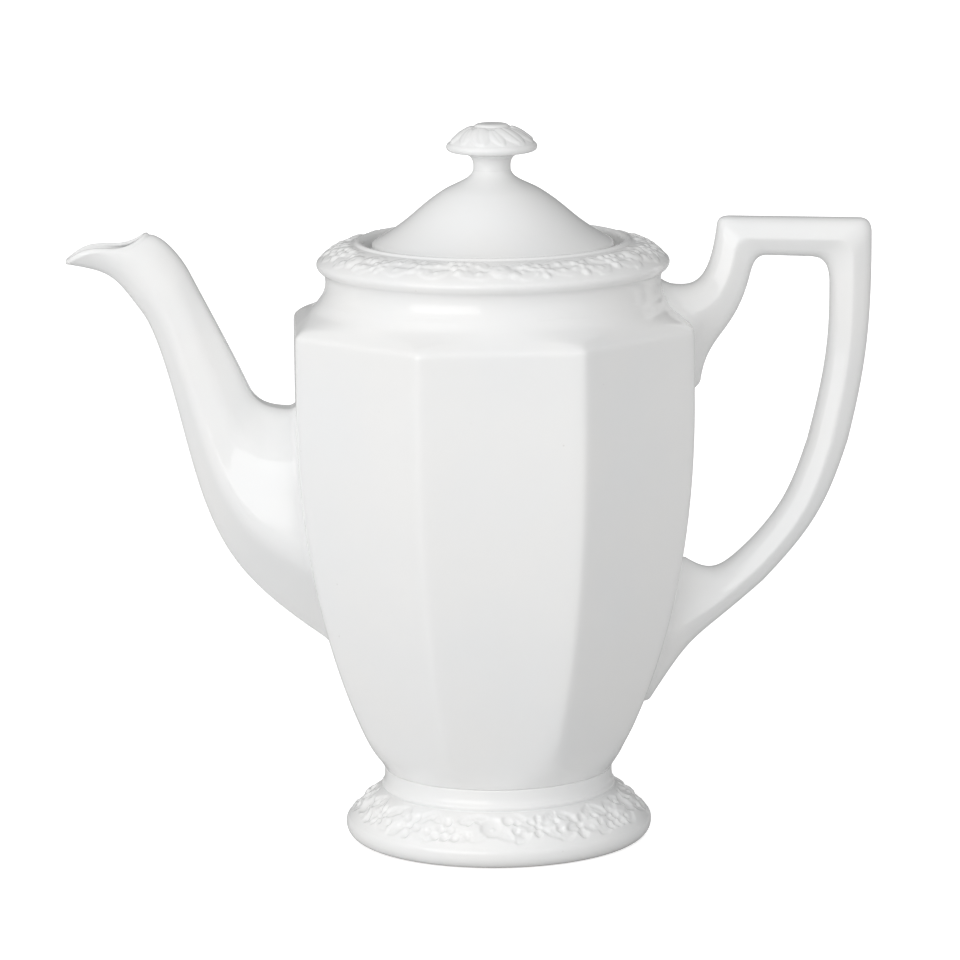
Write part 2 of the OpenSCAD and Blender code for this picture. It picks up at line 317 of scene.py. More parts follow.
class Garland:
    """Height map of a band in relief: u runs round the band and v across it, in millimetres."""

    def __init__(self, length, width, columns, rows, seed):
        self.length, self.width = length, width
        self.u = np.arange(columns) * length / columns
        self.v = np.linspace(0, width, rows)
        self.height = np.zeros((rows, columns))
        self.random = np.random.default_rng(seed)

    def around(self, u):
        """Distances of the columns from u, the shorter way round the band."""
        return (self.u - u + self.length / 2) % self.length - self.length / 2

    def stamp(self, u, v, reach, shape):
        """Raises the band to shape(du, dv) round the point (u, v)."""
        du = self.around(u)
        near = np.where(np.abs(du) < reach)[0]
        rise = shape(du[near][None, :], (self.v - v)[:, None])
        self.height[:, near] = np.maximum(self.height[:, near], rise)

    def leaf(self, u, v, angle, length, width, top):
        """A pointed leaf with a midrib and side veins."""
        c, s = math.cos(angle), math.sin(angle)

        def shape(du, dv):
            along = (du * c + dv * s) / (length / 2)
            across = -du * s + dv * c
            half = width / 2 * np.clip(1 - along**2, 0, 1) ** 0.75 * (1.05 - 0.35 * along)
            d = np.abs(across) / np.maximum(half, 1e-3)
            bulge = np.sqrt(np.clip(1 - d**2, 0, 1))
            rib = 0.30 * np.exp(-((across / 0.22) ** 2))
            veins = 0.10 * np.cos(2 * math.pi * (along * 2.4 - np.abs(across) * 0.5))
            return np.where(d < 1, top * (0.15 + 0.85 * bulge) * (1 - rib + veins), 0)

        self.stamp(u, v, length, shape)

    def berry(self, u, v, r, top):
        """One round berry."""
        self.stamp(u, v, r, lambda du, dv: top * np.sqrt(np.clip(1 - (du**2 + dv**2) / r**2, 0, 1)))

    def bunch(self, u, v, r):
        """A bunch of berries, three, then two, then one."""
        lean = self.random.uniform(-0.5, 0.5)
        for row, many in enumerate((3, 2, 1)):
            for k in range(many):
                du = (k - (many - 1) / 2) * 1.9 * r + lean * row
                self.berry(u + du, v + (1 - row) * 1.6 * r, r, 0.95 - 0.05 * row)

    def apple(self, u, v, r):
        """A round fruit with a dimple."""
        self.berry(u, v, r, 1.0)
        du = self.around(u)
        near = np.where(np.abs(du) < r)[0]
        off = du[near][None, :] ** 2 + (self.v - v)[:, None] ** 2
        self.height[:, near] -= PIT_DEPTH * np.exp(-(off / PIT_R**2))

    def blossom(self, u, v, r, petals):
        """An open blossom with rounded petals round a button."""
        turn = self.random.uniform(0, 2 * math.pi)

        def shape(du, dv):
            out = np.hypot(du, dv)
            phi = np.arctan2(dv, du) * petals + turn
            edge = r * (0.84 + 0.16 * np.cos(phi))
            cup = np.clip(out / edge, 0, 1)
            petal = 0.90 * np.sqrt(np.clip(1 - cup**4, 0, 1)) * (0.50 + 0.50 * cup)
            petal *= 0.74 + 0.26 * np.cos(phi)
            button = 0.95 * np.sqrt(np.clip(1 - (out / (0.30 * r)) ** 2, 0, 1))
            return np.where(out < edge, np.maximum(petal, button), 0)

        self.stamp(u, v, r, shape)

    def plant_leaves(self, u, pitch):
        """Four leaves behind the fruit or blossom at u."""
        rand = self.random.uniform
        for side in (-1, 1):
            for lean in (-1, 1):
                self.leaf(u + lean * pitch * rand(0.22, 0.42),
                          self.width / 2 + side * self.width * rand(0.16, 0.26),
                          lean * side * rand(0.25, 0.9),
                          self.width * rand(0.48, 0.62),
                          self.width * rand(0.24, 0.32),
                          rand(0.26, 0.42))

    def plant_fruit(self, kind, u, v, pitch):
        """A large blossom, a bunch of berries, a round fruit or a small blossom, by its kind."""
        rand = self.random.uniform
        if kind == 0:
            self.blossom(u, v, self.width * rand(0.34, 0.40), 5)
        elif kind == 1:
            self.bunch(u, v, self.width * rand(0.115, 0.135))
        elif kind == 2:
            self.apple(u, v, self.width * rand(0.25, 0.30))
            self.berry(u + pitch * 0.34, v - self.width * 0.18, self.width * 0.14, 0.8)
        else:
            self.blossom(u, v, self.width * rand(0.28, 0.33), 6)
            self.berry(u - pitch * 0.36, v + self.width * 0.2, self.width * 0.12, 0.7)

    def fill(self, pitch):
        """Plants the whole band: fruit and blossoms in turn, with leaves between and behind them."""
        many = int(round(self.length / pitch))
        rand = self.random.uniform
        mid = self.width / 2
        for k in range(many):
            self.plant_leaves(k * self.length / many, pitch)
        for k in range(many):
            u = (k + rand(-0.08, 0.08)) * self.length / many
            v = mid + self.width * rand(-0.08, 0.08)
            self.plant_fruit(k % 4, u, v, pitch)
            for side in (-1, 1):
                self.berry(u + pitch * rand(0.42, 0.58),
                           mid + side * self.width * rand(0.08, 0.24),
                           self.width * rand(0.07, 0.11),
                           rand(0.55, 0.75))

    def heights(self, top, fade):
        """The finished height map, softened like glaze, and running out to nothing at both edges."""
        h = self.height
        for _ in range(SOFTENING):
            h = (2 * h + np.roll(h, 1, axis=1) + np.roll(h, -1, axis=1)) / 4
            padded = np.pad(h, ((1, 1), (0, 0)), mode="edge")
            h = (padded[:-2] + 2 * h + padded[2:]) / 4
        edge = smooth(self.v / fade) * smooth((self.width - self.v) / fade)
        return top * h * edge[:, None]


def relief_band(skin, profile, top, pitch, seed, fade):
    """Adds a band in relief along the profile, with finer columns than the plain parts."""
    line = even(profile, RELIEF_STEP)
    width = np.linalg.norm(np.diff(line, axis=0), axis=1).sum()
    columns = COLUMNS * FINE
    garland = Garland(2 * math.pi * line[:, 0].mean(), width, columns, len(line), seed)
    garland.fill(pitch)
    turned(skin, line, columns, push=(side_normals(line), garland.heights(top, fade)))


# ---------- barrel ----------

def octagon(angle, power):
    """Radius of a soft-edged octagon of half width 1. Power 2 is a circle, and more is sharper."""
    def pull(a):
        return sum(np.maximum(0, np.cos(a - k * math.pi / 4)) ** power for k in range(8))
    return (pull(0.0) / pull(angle)) ** (1 / power)


# How sharp the barrel's vertical edges are, as pairs of a height and a power of the octagon
EDGE_POWERS = [
    (SEAM_Z, 6), (SEAM_Z + 6, 18), (SEAM_Z + 14, 42), (SEAM_Z + 26, 70), (SEAM_Z + 40, 90),
    (SEAM_Z + 75, 110), (CREASE_Z, 110), (CREASE_Z + 1, 70), (CREASE_Z + 2.5, 18),
    (CREASE_Z + 4.5, 6), (NECK_Z - 3, 2),
]


def edge_power(z):
    """How sharp the barrel's vertical edges are at height z."""
    heights, powers = zip(*EDGE_POWERS)
    return math.exp(np.interp(z, heights, np.log(powers)))


def barrel_shape(angle, z):
    return octagon(angle, edge_power(z))


def crowd_edges(angle, z):
    """Moves the columns towards the octagon's edges, but not up in the round neck."""
    share = CROWDING * (1 - smooth((z - CREASE_Z - 4) / (NECK_Z - CREASE_Z - 4)))
    return angle + share * np.sin(8 * angle) / 8


def barrel_side():
    """Outline of a panel's middle, from the foot's seam to the neck."""
    side = even(chain([BASE_R, SEAM_Z + 0.2], [
        [[BARREL_R - 7.0, SEAM_Z + 36], [BARREL_R, FULL_Z - 40], [BARREL_R, FULL_Z]],
        [[BARREL_R, CREASE_Z - 2.6]],
    ], 60), 1.3)
    bend = [BARREL_R - 1.2, CREASE_Z + 0.3]
    middle = [BARREL_R - 4.9, CREASE_Z + 3.9]
    shoulder = even(chain([BARREL_R, CREASE_Z - 2.6], [
        [[BARREL_R, CREASE_Z - 1.0], [BARREL_R - 0.3, CREASE_Z - 0.5], bend],
        [[BARREL_R - 2.4, CREASE_Z + 1.4], [BARREL_R - 3.6, CREASE_Z + 2.3], middle],
        [[BARREL_R - 6.5, CREASE_Z + 5.8], [NECK_R, CREASE_Z + 8.2], [NECK_R, NECK_Z + 1.6]],
    ], 40), 0.4)
    return np.concatenate([side, shoulder[1:]])


def outside_barrel(points):
    """How far points stand outside the barrel, measured level, in millimetres."""
    side = barrel_side()
    radius = np.hypot(points[:, 0], points[:, 1])
    angle = np.arctan2(points[:, 1], points[:, 0])
    z = points[:, 2]
    face = np.interp(z, side[:, 1], side[:, 0])
    face = face * np.array([float(barrel_shape(a, h)) for a, h in zip(angle, z)])
    return radius - face


# The notch for the lid's lug: its depth, half of its angle and the angle that each flank takes, in degrees
NOTCH_DEPTH = 4.9
NOTCH_HALF = 9.4
NOTCH_FLANK = 1.6


def notch(angle):
    """1 where the ledge is cut away for the lid's lug, 0 elsewhere."""
    off = np.degrees(np.abs((angle - math.pi / 2 + math.pi) % (2 * math.pi) - math.pi))
    return 1 - smooth((off - NOTCH_HALF) / NOTCH_FLANK)


def ledge_shape(angle, z):
    """Radius of the ledge's opening, as a share of the plain radius."""
    return 1 + NOTCH_DEPTH / LEDGE_R * notch(angle)


def lean_to_spout(skin):
    """Moves the barrel between its foot and its neck a little towards the spout."""
    for ring in skin.points:
        up = smooth((ring[:, 2] - SEAM_Z - 1) / 9)
        down = 1 - smooth((ring[:, 2] - CREASE_Z) / (NECK_Z - CREASE_Z))
        ring[:, 0] -= BARREL_LEAN * up * down


def strainer_cutters():
    """Round cutters for the seven strainer holes behind the spout."""
    cutters = []
    for k in range(7):
        a = math.radians(60 * k)
        out = 0 if k == 0 else STRAINER_PITCH
        y, z = out * math.sin(a), STRAINER_Z + out * math.cos(a)
        outside, inside = [-HALF_FLATS - 4, y, z], [-HALF_FLATS + 14, y, z]
        cutters.append(rod(f"cutter{k}", outside, inside, STRAINER_HOLE_R))
    return cutters


def flare_outline():
    """From the neck out to the plain edge of the rim."""
    return even(chain([NECK_R, NECK_Z + 1.6], [
        [[NECK_R + 0.1, NECK_Z + 4.8], [RIM_R - 1.3, NECK_Z + 4.1], [RIM_R - 0.3, NECK_Z + 5.7]],
        [[RIM_R + 0.15, NECK_Z + 6.4], [RIM_R + 0.15, NECK_Z + 7.2], [RIM_R - 0.3, NECK_Z + 7.8]],
    ], 30), 0.35)


def rim_band():
    """The rim's sloping top, which is in relief."""
    return curve([[RIM_R - 0.5, NECK_Z + 8.0], [RIM_R - 2.5, NECK_Z + 10.1],
                  [MOUTH_R + 6.6, RIM_Z - 1.5], [MOUTH_R + 2.6, RIM_Z - 0.7]], 40)


def lip_outline():
    """Over the rim's inner edge, down the wall of the mouth and through the drip channel."""
    drip_r = MOUTH_R - 2.4
    return even(chain([MOUTH_R + 2.3, RIM_Z - 0.35], [
        [[MOUTH_R + 1.9, RIM_Z + 0.25], [MOUTH_R + 0.9, RIM_Z + 0.1], [MOUTH_R + 0.4, RIM_Z - 0.3]],
        [[MOUTH_R, RIM_Z - 0.7], [MOUTH_R, RIM_Z - 2.0], [MOUTH_R, LEDGE_Z + 0.8]],
        [[MOUTH_R, LEDGE_Z - 1.3]],
        [[MOUTH_R, LEDGE_Z - 2.5], [drip_r, LEDGE_Z - 2.5], [drip_r, LEDGE_Z - 1.3]],
        [[drip_r, LEDGE_Z - 0.2], [MOUTH_R - 2.6, LEDGE_Z], [MOUTH_R - 3.2, LEDGE_Z]],
    ], 20), 0.3)


def ledge_outline():
    """Round the ledge's inner edge, which the lid's flange passes."""
    under = LEDGE_Z - LEDGE_T
    return even(chain([LEDGE_R + 0.8, LEDGE_Z], [
        [[LEDGE_R + 0.3, LEDGE_Z], [LEDGE_R, LEDGE_Z - 0.3], [LEDGE_R, LEDGE_Z - 0.8]],
        [[LEDGE_R, LEDGE_Z - 2], [LEDGE_R, LEDGE_Z - 3], [LEDGE_R, under + 0.8]],
        [[LEDGE_R, under + 0.3], [LEDGE_R + 0.3, under], [LEDGE_R + 0.8, under]],
    ], 12), 0.35)


def throat_outline():
    """From under the ledge out to the inside of the neck."""
    under = LEDGE_Z - LEDGE_T
    return even(curve([[LEDGE_R + 6.2, under - 0.3], [LEDGE_R + 9, under - 0.5],
                       [NECK_R - WALL, LEDGE_Z - 7], [NECK_R - WALL, NECK_Z - 5]], 20), 0.8)


def cavity_outline():
    """The inside, from the neck down to the floor."""
    inner, neck, heel, floor = HALF_FLATS - WALL, NECK_R - WALL, BASE_R - WALL, SEAM_Z + FLOOR_UP
    return even(chain([neck, NECK_Z - 6], [
        [[neck, CREASE_Z + 1], [inner, CREASE_Z + 1], [inner, CREASE_Z - 7]],
        [[inner, FULL_Z]],
        [[inner, FULL_Z - 38], [inner - 7, SEAM_Z + 42], [heel + 1.5, floor + 7]],
        [[heel - 1, floor + 2], [heel - 6, floor], [18, floor]],
    ], 40), 1.6)


def cavity_shape(angle, z):
    """The inside has softer edges than the outside."""
    return octagon(angle, max(2, 0.6 * edge_power(z)))


def make_barrel():
    """The octagonal barrel with its shoulder, neck, rim and gallery, as one hollow shell."""
    skin = Skin()
    turned(skin, even([[0, SEAM_Z + 0.6], [BASE_R - 4, SEAM_Z + 0.6]], 6))
    turned(skin, [[BASE_R - 2, SEAM_Z + 0.1], [BASE_R - 0.25, SEAM_Z + 0.02], [BASE_R - 0.08, SEAM_Z + 0.06]])
    turned(skin, barrel_side(), shape=barrel_shape, crowd=crowd_edges)
    turned(skin, flare_outline()[1:])
    relief_band(skin, rim_band(), top=0.95, pitch=12.6, seed=11, fade=1.1)
    turned(skin, lip_outline())
    turned(skin, ledge_outline(), shape=ledge_shape)
    turned(skin, throat_outline())
    turned(skin, cavity_outline(), shape=cavity_shape)
    turned(skin, [[10, SEAM_Z + FLOOR_UP], [0, SEAM_Z + FLOOR_UP]])
    lean_to_spout(skin)
    piece = skin.make("pot_barrel")
    cut(piece, strainer_cutters())
    return piece


# ---------- foot ----------

def make_foot():
    """The round foot: a plain collar, a band in relief, a smooth bead and the ring it stands on."""
    skin = Skin()
    top, collar = SEAM_Z - 0.02, BASE_R - 0.1
    inside = even(chain([FOOT_R - 9.0, 0.9], [
        [[FOOT_R - 9.6, 2.4], [BASE_R - 4, 8], [BASE_R - 6, 13]],
        [[BASE_R - 7, 16], [BASE_R - 8, top], [BASE_R - 6, top]],
    ], 24), 0.8)
    turned(skin, inside)
    outside = even(chain([BASE_R - 6, top], [
        [[collar - 0.3, top]],
        [[collar - 0.1, top], [collar, top - 0.1], [collar, top - 0.3]],
        [[collar - 0.1, top - 3], [collar + 0.1, top - 4.2], [collar + 0.6, top - 4.8]],
        [[collar + 1.1, top - 5.3], [collar + 1.1, top - 5.8], [collar + 0.7, top - 6.3]],
    ], 16), 0.35)
    turned(skin, outside[1:])
    band = [[collar + 1.0, top - 6.6], [collar + 4.6, top - 7.9], [FOOT_R - 3.4, 10.6], [FOOT_R - 0.9, 6.9]]
    relief_band(skin, curve(band, 40), top=1.6, pitch=13.6, seed=23, fade=1.0)
    bead = even(chain([FOOT_R - 0.75, 6.6], [
        [[FOOT_R - 0.1, 6.2], [FOOT_R + 0.1, 5.2], [FOOT_R, 4.2]],
        [[FOOT_R - 0.2, 1.4], [FOOT_R - 2.6, 0], [FOOT_R - 4.6, 0]],
        [[FOOT_R - 8.0, 0]],
        [[FOOT_R - 8.7, 0], [FOOT_R - 8.8, 0.4], [FOOT_R - 9.0, 0.9]],
    ], 20), 0.4)
    turned(skin, bead[:-1])
    skin.close()
    return skin.make("pot_foot")


# ---------- lofted pieces: spout and handle ----------

def fillet(distance, radius):
    """How far a surface spreads at a distance from the face that it melts into."""
    near = 1 - np.clip(distance, 0, radius) / radius
    return radius / 2 * near**2


def loft_ring(low, high, half, section, lift=None, spread=None):
    """One ring of a loft. low and high are points of the XZ plane that the section's -1 and 1 fall on,
    and half is the half width that its sides reach. lift(s) moves points off that line, square to it."""
    low, high = np.array(low, float), np.array(high, float)
    along = (high - low) / 2
    flat = (low + high) / 2 + section[:, :1] * along
    if lift is not None:
        up = np.array([-along[1], along[0]]) / np.linalg.norm(along)
        flat = flat + lift(section[:, 0])[:, None] * up
    ring = np.stack([flat[:, 0], section[:, 1] * half, flat[:, 1]], axis=1)
    if spread is not None:
        ring = ring + outward(ring) * spread(ring)[:, None]
    return ring


def outward(ring):
    """Unit vectors that point out of a ring, square to it, in its own plane."""
    step = np.roll(ring, -1, axis=0) - np.roll(ring, 1, axis=0)
    centre = ring.mean(axis=0)
    axis = np.cross(ring - centre, np.roll(ring, -1, axis=0) - centre).sum(axis=0)
    axis /= np.linalg.norm(axis)
    out = np.cross(step, axis)
    return out / np.linalg.norm(out, axis=1)[:, None]


def blend_lists(stops, values, t):
    """Interpolates each number of the value lists at t, smoothly between the stops."""
    k = int(np.clip(np.searchsorted(stops, t, side="right") - 1, 0, len(stops) - 2))
    f = smooth((t - stops[k]) / (stops[k + 1] - stops[k]))
    return [a + (b - a) * f for a, b in zip(values[k], values[k + 1])]


def spout_edges(n):
    """The spout's lower outer edge and its upper inner edge, from the root to the mouth."""
    def x(out):
        return -HALF_FLATS - out * (-SPOUT_TIP_X - HALF_FLATS) / SPOUT_REACH

    low = chain([x(-8.4), 61.8], [
        [[x(18.8), 81.0], [x(25.6), 91.3], [x(32.8), 119.2]],
        [[x(36.2), 132.4], [x(41.1), 156.6], [x(46.8), 164.5]],
        [[x(55.0), 175.8], [x(55.2), 176.9], [x(69.1), 179.3]],
    ], n)
    high = chain([x(0.5), 134.3], [
        [[x(8.1), 134.3], [x(12.6), 135.5], [x(15.1), 141.3]],
        [[x(20.6), 153.5], [x(25.8), 163.3], [x(32.4), 176.6]],
        [[x(34.0), 179.8], [x(39.6), 187.8], [x(44.1), 187.8]],
    ], n)
    return low, high


def spout_section(t):
    """Section of the spout: eight soft edges that melt into an oval towards the lip."""
    stops = [0.0, 0.16, 0.40, 0.75, 1.0]
    values = [
        # lower edge, upper edge, bottom width, top width, width at the upper edge, rounding
        [-0.30, 0.60, 0.06, 0.30, 0.86, 0.19],
        [-0.38, 0.45, 0.10, 0.34, 0.87, 0.22],
        [-0.45, 0.28, 0.22, 0.44, 0.91, 0.30],
        [-0.42, 0.36, 0.40, 0.45, 0.98, 0.44],
        [-0.42, 0.42, 0.42, 0.42, 1.00, 0.46],
    ]
    lower, upper, bottom, top, wide, share = blend_lists(stops, values, t)
    corners = [[-1, -bottom], [lower, -1], [upper, -wide], [1, -top],
               [1, top], [upper, wide], [lower, 1], [-1, bottom]]
    return rounded_polygon(corners, share, 8, 5)


# Steps in each curve of the spout's edges, the fillet at its root, and how far along the lip begins
SPOUT_STEPS = 70
SPOUT_FILLET = 2.8
LIP_FROM = 0.80


def curl(s):
    """How far the lip swings off its chord, in an S, with s running from -1 to 1."""
    return -1.35 * np.sin(math.pi * s)


def spout_fillet(ring):
    return fillet(outside_barrel(ring), SPOUT_FILLET)


class SpoutPath:
    """Edges, half width and wall of the spout, step by step from the root to the mouth."""

    def __init__(self):
        self.low, self.high = spout_edges(SPOUT_STEPS)
        self.last = len(self.low) - 1
        self.t = np.linspace(0, 1, self.last + 1)
        half = np.interp(self.t, np.linspace(0, 1, 7), [19.4, 15.4, 11.6, 9.8, 8.5, 7.6, 6.8])
        self.half = np.convolve(np.pad(half, 15, mode="edge"), np.ones(31) / 31, mode="valid")
        self.wall = 1.9 + 1.3 * (1 - self.t)

    def chord(self, i):
        across = self.high[i] - self.low[i]
        return across / np.linalg.norm(across)

    def lift(self, i):
        """The curl of the lip as it grows in at step i."""
        rise = smooth((self.t[i] - LIP_FROM) / (1 - LIP_FROM))
        return lambda s: rise * curl(s)

    def inner_ends(self, i):
        """The two edges of the hollow inside."""
        chord = self.chord(i)
        tangent = self.low[min(i + 1, self.last)] - self.low[max(i - 1, 0)]
        tangent = tangent / np.linalg.norm(tangent)
        normal = np.array([tangent[1], -tangent[0]])
        normal = normal if normal @ chord > 0 else -normal
        into = chord + normal
        return self.low[i] + into / np.linalg.norm(into) * self.wall[i], self.high[i] - chord * self.wall[i]


def spout_lip(skin, path):
    """The rounded edge of the mouth, from the outer surface over to the inner one."""
    last = path.last
    a, b = path.inner_ends(last)
    section = spout_section(1)
    outer_ring = loft_ring(path.low[last], path.high[last], path.half[last], section, curl)
    inner_ring = loft_ring(a, b, path.half[last] - path.wall[last], section, curl)
    chord = path.chord(last)
    up = np.array([-chord[1], 0, chord[0]]) + np.clip(-section[:, :1], 0, 1) ** 4 * np.array([-0.8, 0, 0])
    up = up / np.linalg.norm(up, axis=1)[:, None]
    for k in range(1, 8):
        turn = math.pi * k / 8
        mix = (1 - math.cos(turn)) / 2
        skin.ring(outer_ring * (1 - mix) + inner_ring * mix + up * path.wall[last] / 2 * math.sin(turn))


def make_spout():
    """The hollow spout, from its root in the barrel's panel to its duck-bill lip and back inside."""
    path = SpoutPath()
    low, high, half, wall = path.low, path.high, path.half, path.wall
    skin = Skin()
    for back in (3.0, 1.5):
        skin.ring(loft_ring(low[0] + [back, 0], high[0] + [back, 0], half[0] + 2.4, spout_section(0)))
    for i in range(path.last + 1):
        near_root = spout_fillet if path.t[i] < 0.40 else None
        skin.ring(loft_ring(low[i], high[i], half[i], spout_section(path.t[i]), path.lift(i), near_root))
    spout_lip(skin, path)
    for i in range(path.last, -1, -1):
        a, b = path.inner_ends(i)
        skin.ring(loft_ring(a, b, half[i] - wall[i], spout_section(path.t[i]), path.lift(i)))
    a, b = path.inner_ends(0)
    skin.ring(loft_ring(a + [3.0, 0], b + [3.0, 0], half[0] - wall[0], spout_section(0)))
    skin.close()
    return skin.make("pot_spout")


def handle_edges(n):
    """The handle's outer edge and its inner edge, from the upper root to the lower one."""
    def x(out):
        return HALF_FLATS + out * (HANDLE_FAR_X - HALF_FLATS) / HANDLE_REACH

    outer = chain([x(-12.5), 170.4], [
        [[x(-8.5), 170.5]],
        [[x(-0.5), 169.8], [x(5.7), 166.5], [x(8.4), 187.5]],
        [[x(8.7), 190], [x(9.8), 190.6], [x(12.5), 190.6]],
        [[x(51.8), 189.4]],
        [[x(54.1), 189.3], [x(55.2), 188.2], [x(55.4), 185.5]],
        [[x(55.4), 157], [x(53.8), 144], [x(48.2), 121.3]],
        [[x(41.8), 101.5], [x(37.8), 94.5], [x(22.2), 78.1]],
        [[x(-0.9), 58], [x(1.7), 64.1], [x(-12.4), 42.1]],
        [[x(-13.4), 40.6], [x(-14.8), 40.4], [x(-20), 41.6]],
    ], n)
    inner = chain([x(-3), 139.3], [
        [[x(2.0), 138.8], [x(3.0), 138.9], [x(3.4), 141.2]],
        [[x(5.7), 155.2], [x(13.8), 154.6], [x(18.4), 172.9]],
        [[x(19.4), 176.7], [x(20.4), 178.6], [x(23.5), 178.6]],
        [[x(36.3), 178.0]],
        [[x(41.0), 177.8], [x(42.7), 175.2], [x(42.7), 169.2]],
        [[x(42.7), 152.3], [x(41.7), 143.6], [x(35.9), 121.5]],
        [[x(31.5), 108.4], [x(28.9), 101.4], [x(18.5), 90.7]],
        [[x(9.0), 81.4], [x(6.5), 80.4], [x(-1.5), 85.5]],
        [[x(-6), 85.5]],
    ], n)
    return outer, inner


def handle_section(t):
    """Section of the handle: a soft ridge down each side, and rounded tongues at both roots."""
    stops = [0.0, 0.11, 0.24, 0.55, 0.80, 0.90, 1.0]
    values = [
        # ridge, outer width, inner width, rounding
        [0.30, 0.46, 0.40, 0.46],
        [0.30, 0.46, 0.40, 0.46],
        [0.00, 0.56, 0.58, 0.44],
        [0.00, 0.54, 0.58, 0.44],
        [0.15, 0.50, 0.56, 0.46],
        [0.05, 0.46, 0.52, 0.46],
        [-0.20, 0.42, 0.48, 0.46],
    ]
    ridge, outer, inner, share = blend_lists(stops, values, t)
    corners = [[-1, -inner], [ridge - 0.10, -1], [ridge + 0.10, -1], [1, -outer],
               [1, outer], [ridge + 0.10, 1], [ridge - 0.10, 1], [-1, inner]]
    return rounded_polygon(corners, share, 6, 4)


# Half widths of the handle along the grip and at its roots, and the fillets at the roots
GRIP_W = 6.8
UPPER_ROOT_W = 10.2
LOWER_ROOT_W = 9.6
UPPER_FILLET = 3.6
LOWER_FILLET = 2.4


def handle_half(t):
    """Half width of the handle, wider towards both roots."""
    upper = (UPPER_ROOT_W - GRIP_W) * (1 - smooth((t - 0.10) / 0.14))
    lower = (LOWER_ROOT_W - GRIP_W) * smooth((t - 0.76) / 0.16)
    return GRIP_W + upper + lower


def handle_fillet(t):
    """The fillet near a root of the handle, wider at the upper one, or None along the grip."""
    if 0.26 <= t <= 0.74:
        return None
    radius = UPPER_FILLET if t < 0.2 else LOWER_FILLET
    return lambda ring: fillet(outside_barrel(ring), radius)


def make_handle():
    """The angular handle, with a root on the neck and shoulder and another low on the barrel."""
    outer, inner = handle_edges(36)
    last = len(outer) - 1
    skin = Skin()
    for i in range(last + 1):
        t = i / last
        skin.ring(loft_ring(inner[i], outer[i], handle_half(t), handle_section(t), None, handle_fillet(t)))
    skin.cap()
    return skin.make("pot_handle")


# ---------- lid ----------

def flange_outline(inner_r):
    """Down the inside of the flange, round its end and up to the ledge that the lid sits on."""
    seat = LEDGE_Z + 0.05
    return even(chain([inner_r, LEDGE_Z + 0.8], [
        [[inner_r, FLANGE_Z + 1.2]],
        [[inner_r, FLANGE_Z], [inner_r + 0.6, FLANGE_Z], [inner_r + 1.4, FLANGE_Z]],
        [[FLANGE_R - 0.5, FLANGE_Z], [FLANGE_R, FLANGE_Z + 0.3], [FLANGE_R, FLANGE_Z + 1.2]],
        [[FLANGE_R, LEDGE_Z - 0.6]],
        [[FLANGE_R, LEDGE_Z], [FLANGE_R + 0.4, seat], [FLANGE_R + 0.8, seat]],
    ], 10), 0.4)


def dome_outline():
    """From the flange out to the lid's edge and up the dome to the knob's neck."""
    seat, edge_top = LEDGE_Z + 0.05, LEDGE_Z + LID_EDGE
    return even(chain([FLANGE_R + 0.8, seat], [
        [[LID_R - 0.9, seat]],
        [[LID_R - 0.3, seat], [LID_R, LEDGE_Z + 0.4], [LID_R, LEDGE_Z + 1.0]],
        [[LID_R + 0.1, edge_top - 0.9], [LID_R - 0.1, edge_top - 0.3], [LID_R - 0.9, edge_top + 0.1]],
        [[LID_R - 12.4, 191.0], [23.8, 193.9], [15.0, 199.6]],
        [[11.4, 201.9], [6.3, 203.0], [KNOB_NECK_R, KNOB_SEAM_Z - 0.06]],
    ], 40), 0.5)


def make_lid():
    """The domed lid with its edge, its flange and the hollow underneath."""
    skin = Skin()
    inner_r = FLANGE_R - FLANGE_WALL
    turned(skin, [[0, 197.0]])
    under = even(curve([[1.5, 197], [15, 196.5], [inner_r - 2.8, 189.5], [inner_r, LEDGE_Z + 0.8]], 40), 1.0)
    turned(skin, np.concatenate([under, flange_outline(inner_r)[1:], dome_outline()[1:]]))
    turned(skin, [[KNOB_NECK_R, KNOB_SEAM_Z - 0.02], [KNOB_NECK_R - 0.04, KNOB_SEAM_Z], [0, KNOB_SEAM_Z]])
    piece = skin.make("lid_dome")
    vent_y = VENT_AT * LID_R
    cut(piece, [rod("vent_cutter", [0, vent_y, LEDGE_Z], [0, vent_y, TOP_Z], VENT_R)])
    return piece


# Rounding of the lug's edges, and how far its root reaches into the flange
LUG_ROUND = 0.9
LUG_ROOT = 0.6


def make_lug():
    """The nub on the flange that holds the lid in when the pot is tipped."""
    low, high = corner_mm("lid_lug", False), corner_mm("lid_lug", True)
    half_x, depth = high[0], high[1] - FLANGE_R + LUG_ROOT
    middle_y = high[1] - depth / 2
    half_round = 0.3 * LUG_ROUND
    heights = [(low[2], LUG_ROUND), (low[2] + half_round, half_round), (low[2] + LUG_ROUND, 0.0),
               (high[2] - LUG_ROUND, 0.0), (high[2] - half_round, half_round), (high[2], LUG_ROUND)]
    skin = Skin()
    for z, inset in heights:
        x, y = half_x - inset, depth / 2 - inset
        outline = rounded_polygon([[-x, -y], [x, -y], [x, y], [-x, y]], 0.22, 6, 4)
        skin.ring(np.stack([outline[:, 0], outline[:, 1] + middle_y, np.full(len(outline), z)], axis=1))
    skin.cap()
    return skin.make("lid_retaining_lug")


# Leaves on the knob, in each of its two layers, and their height
KNOB_LEAVES = 6
KNOB_LEAF_H = 0.60


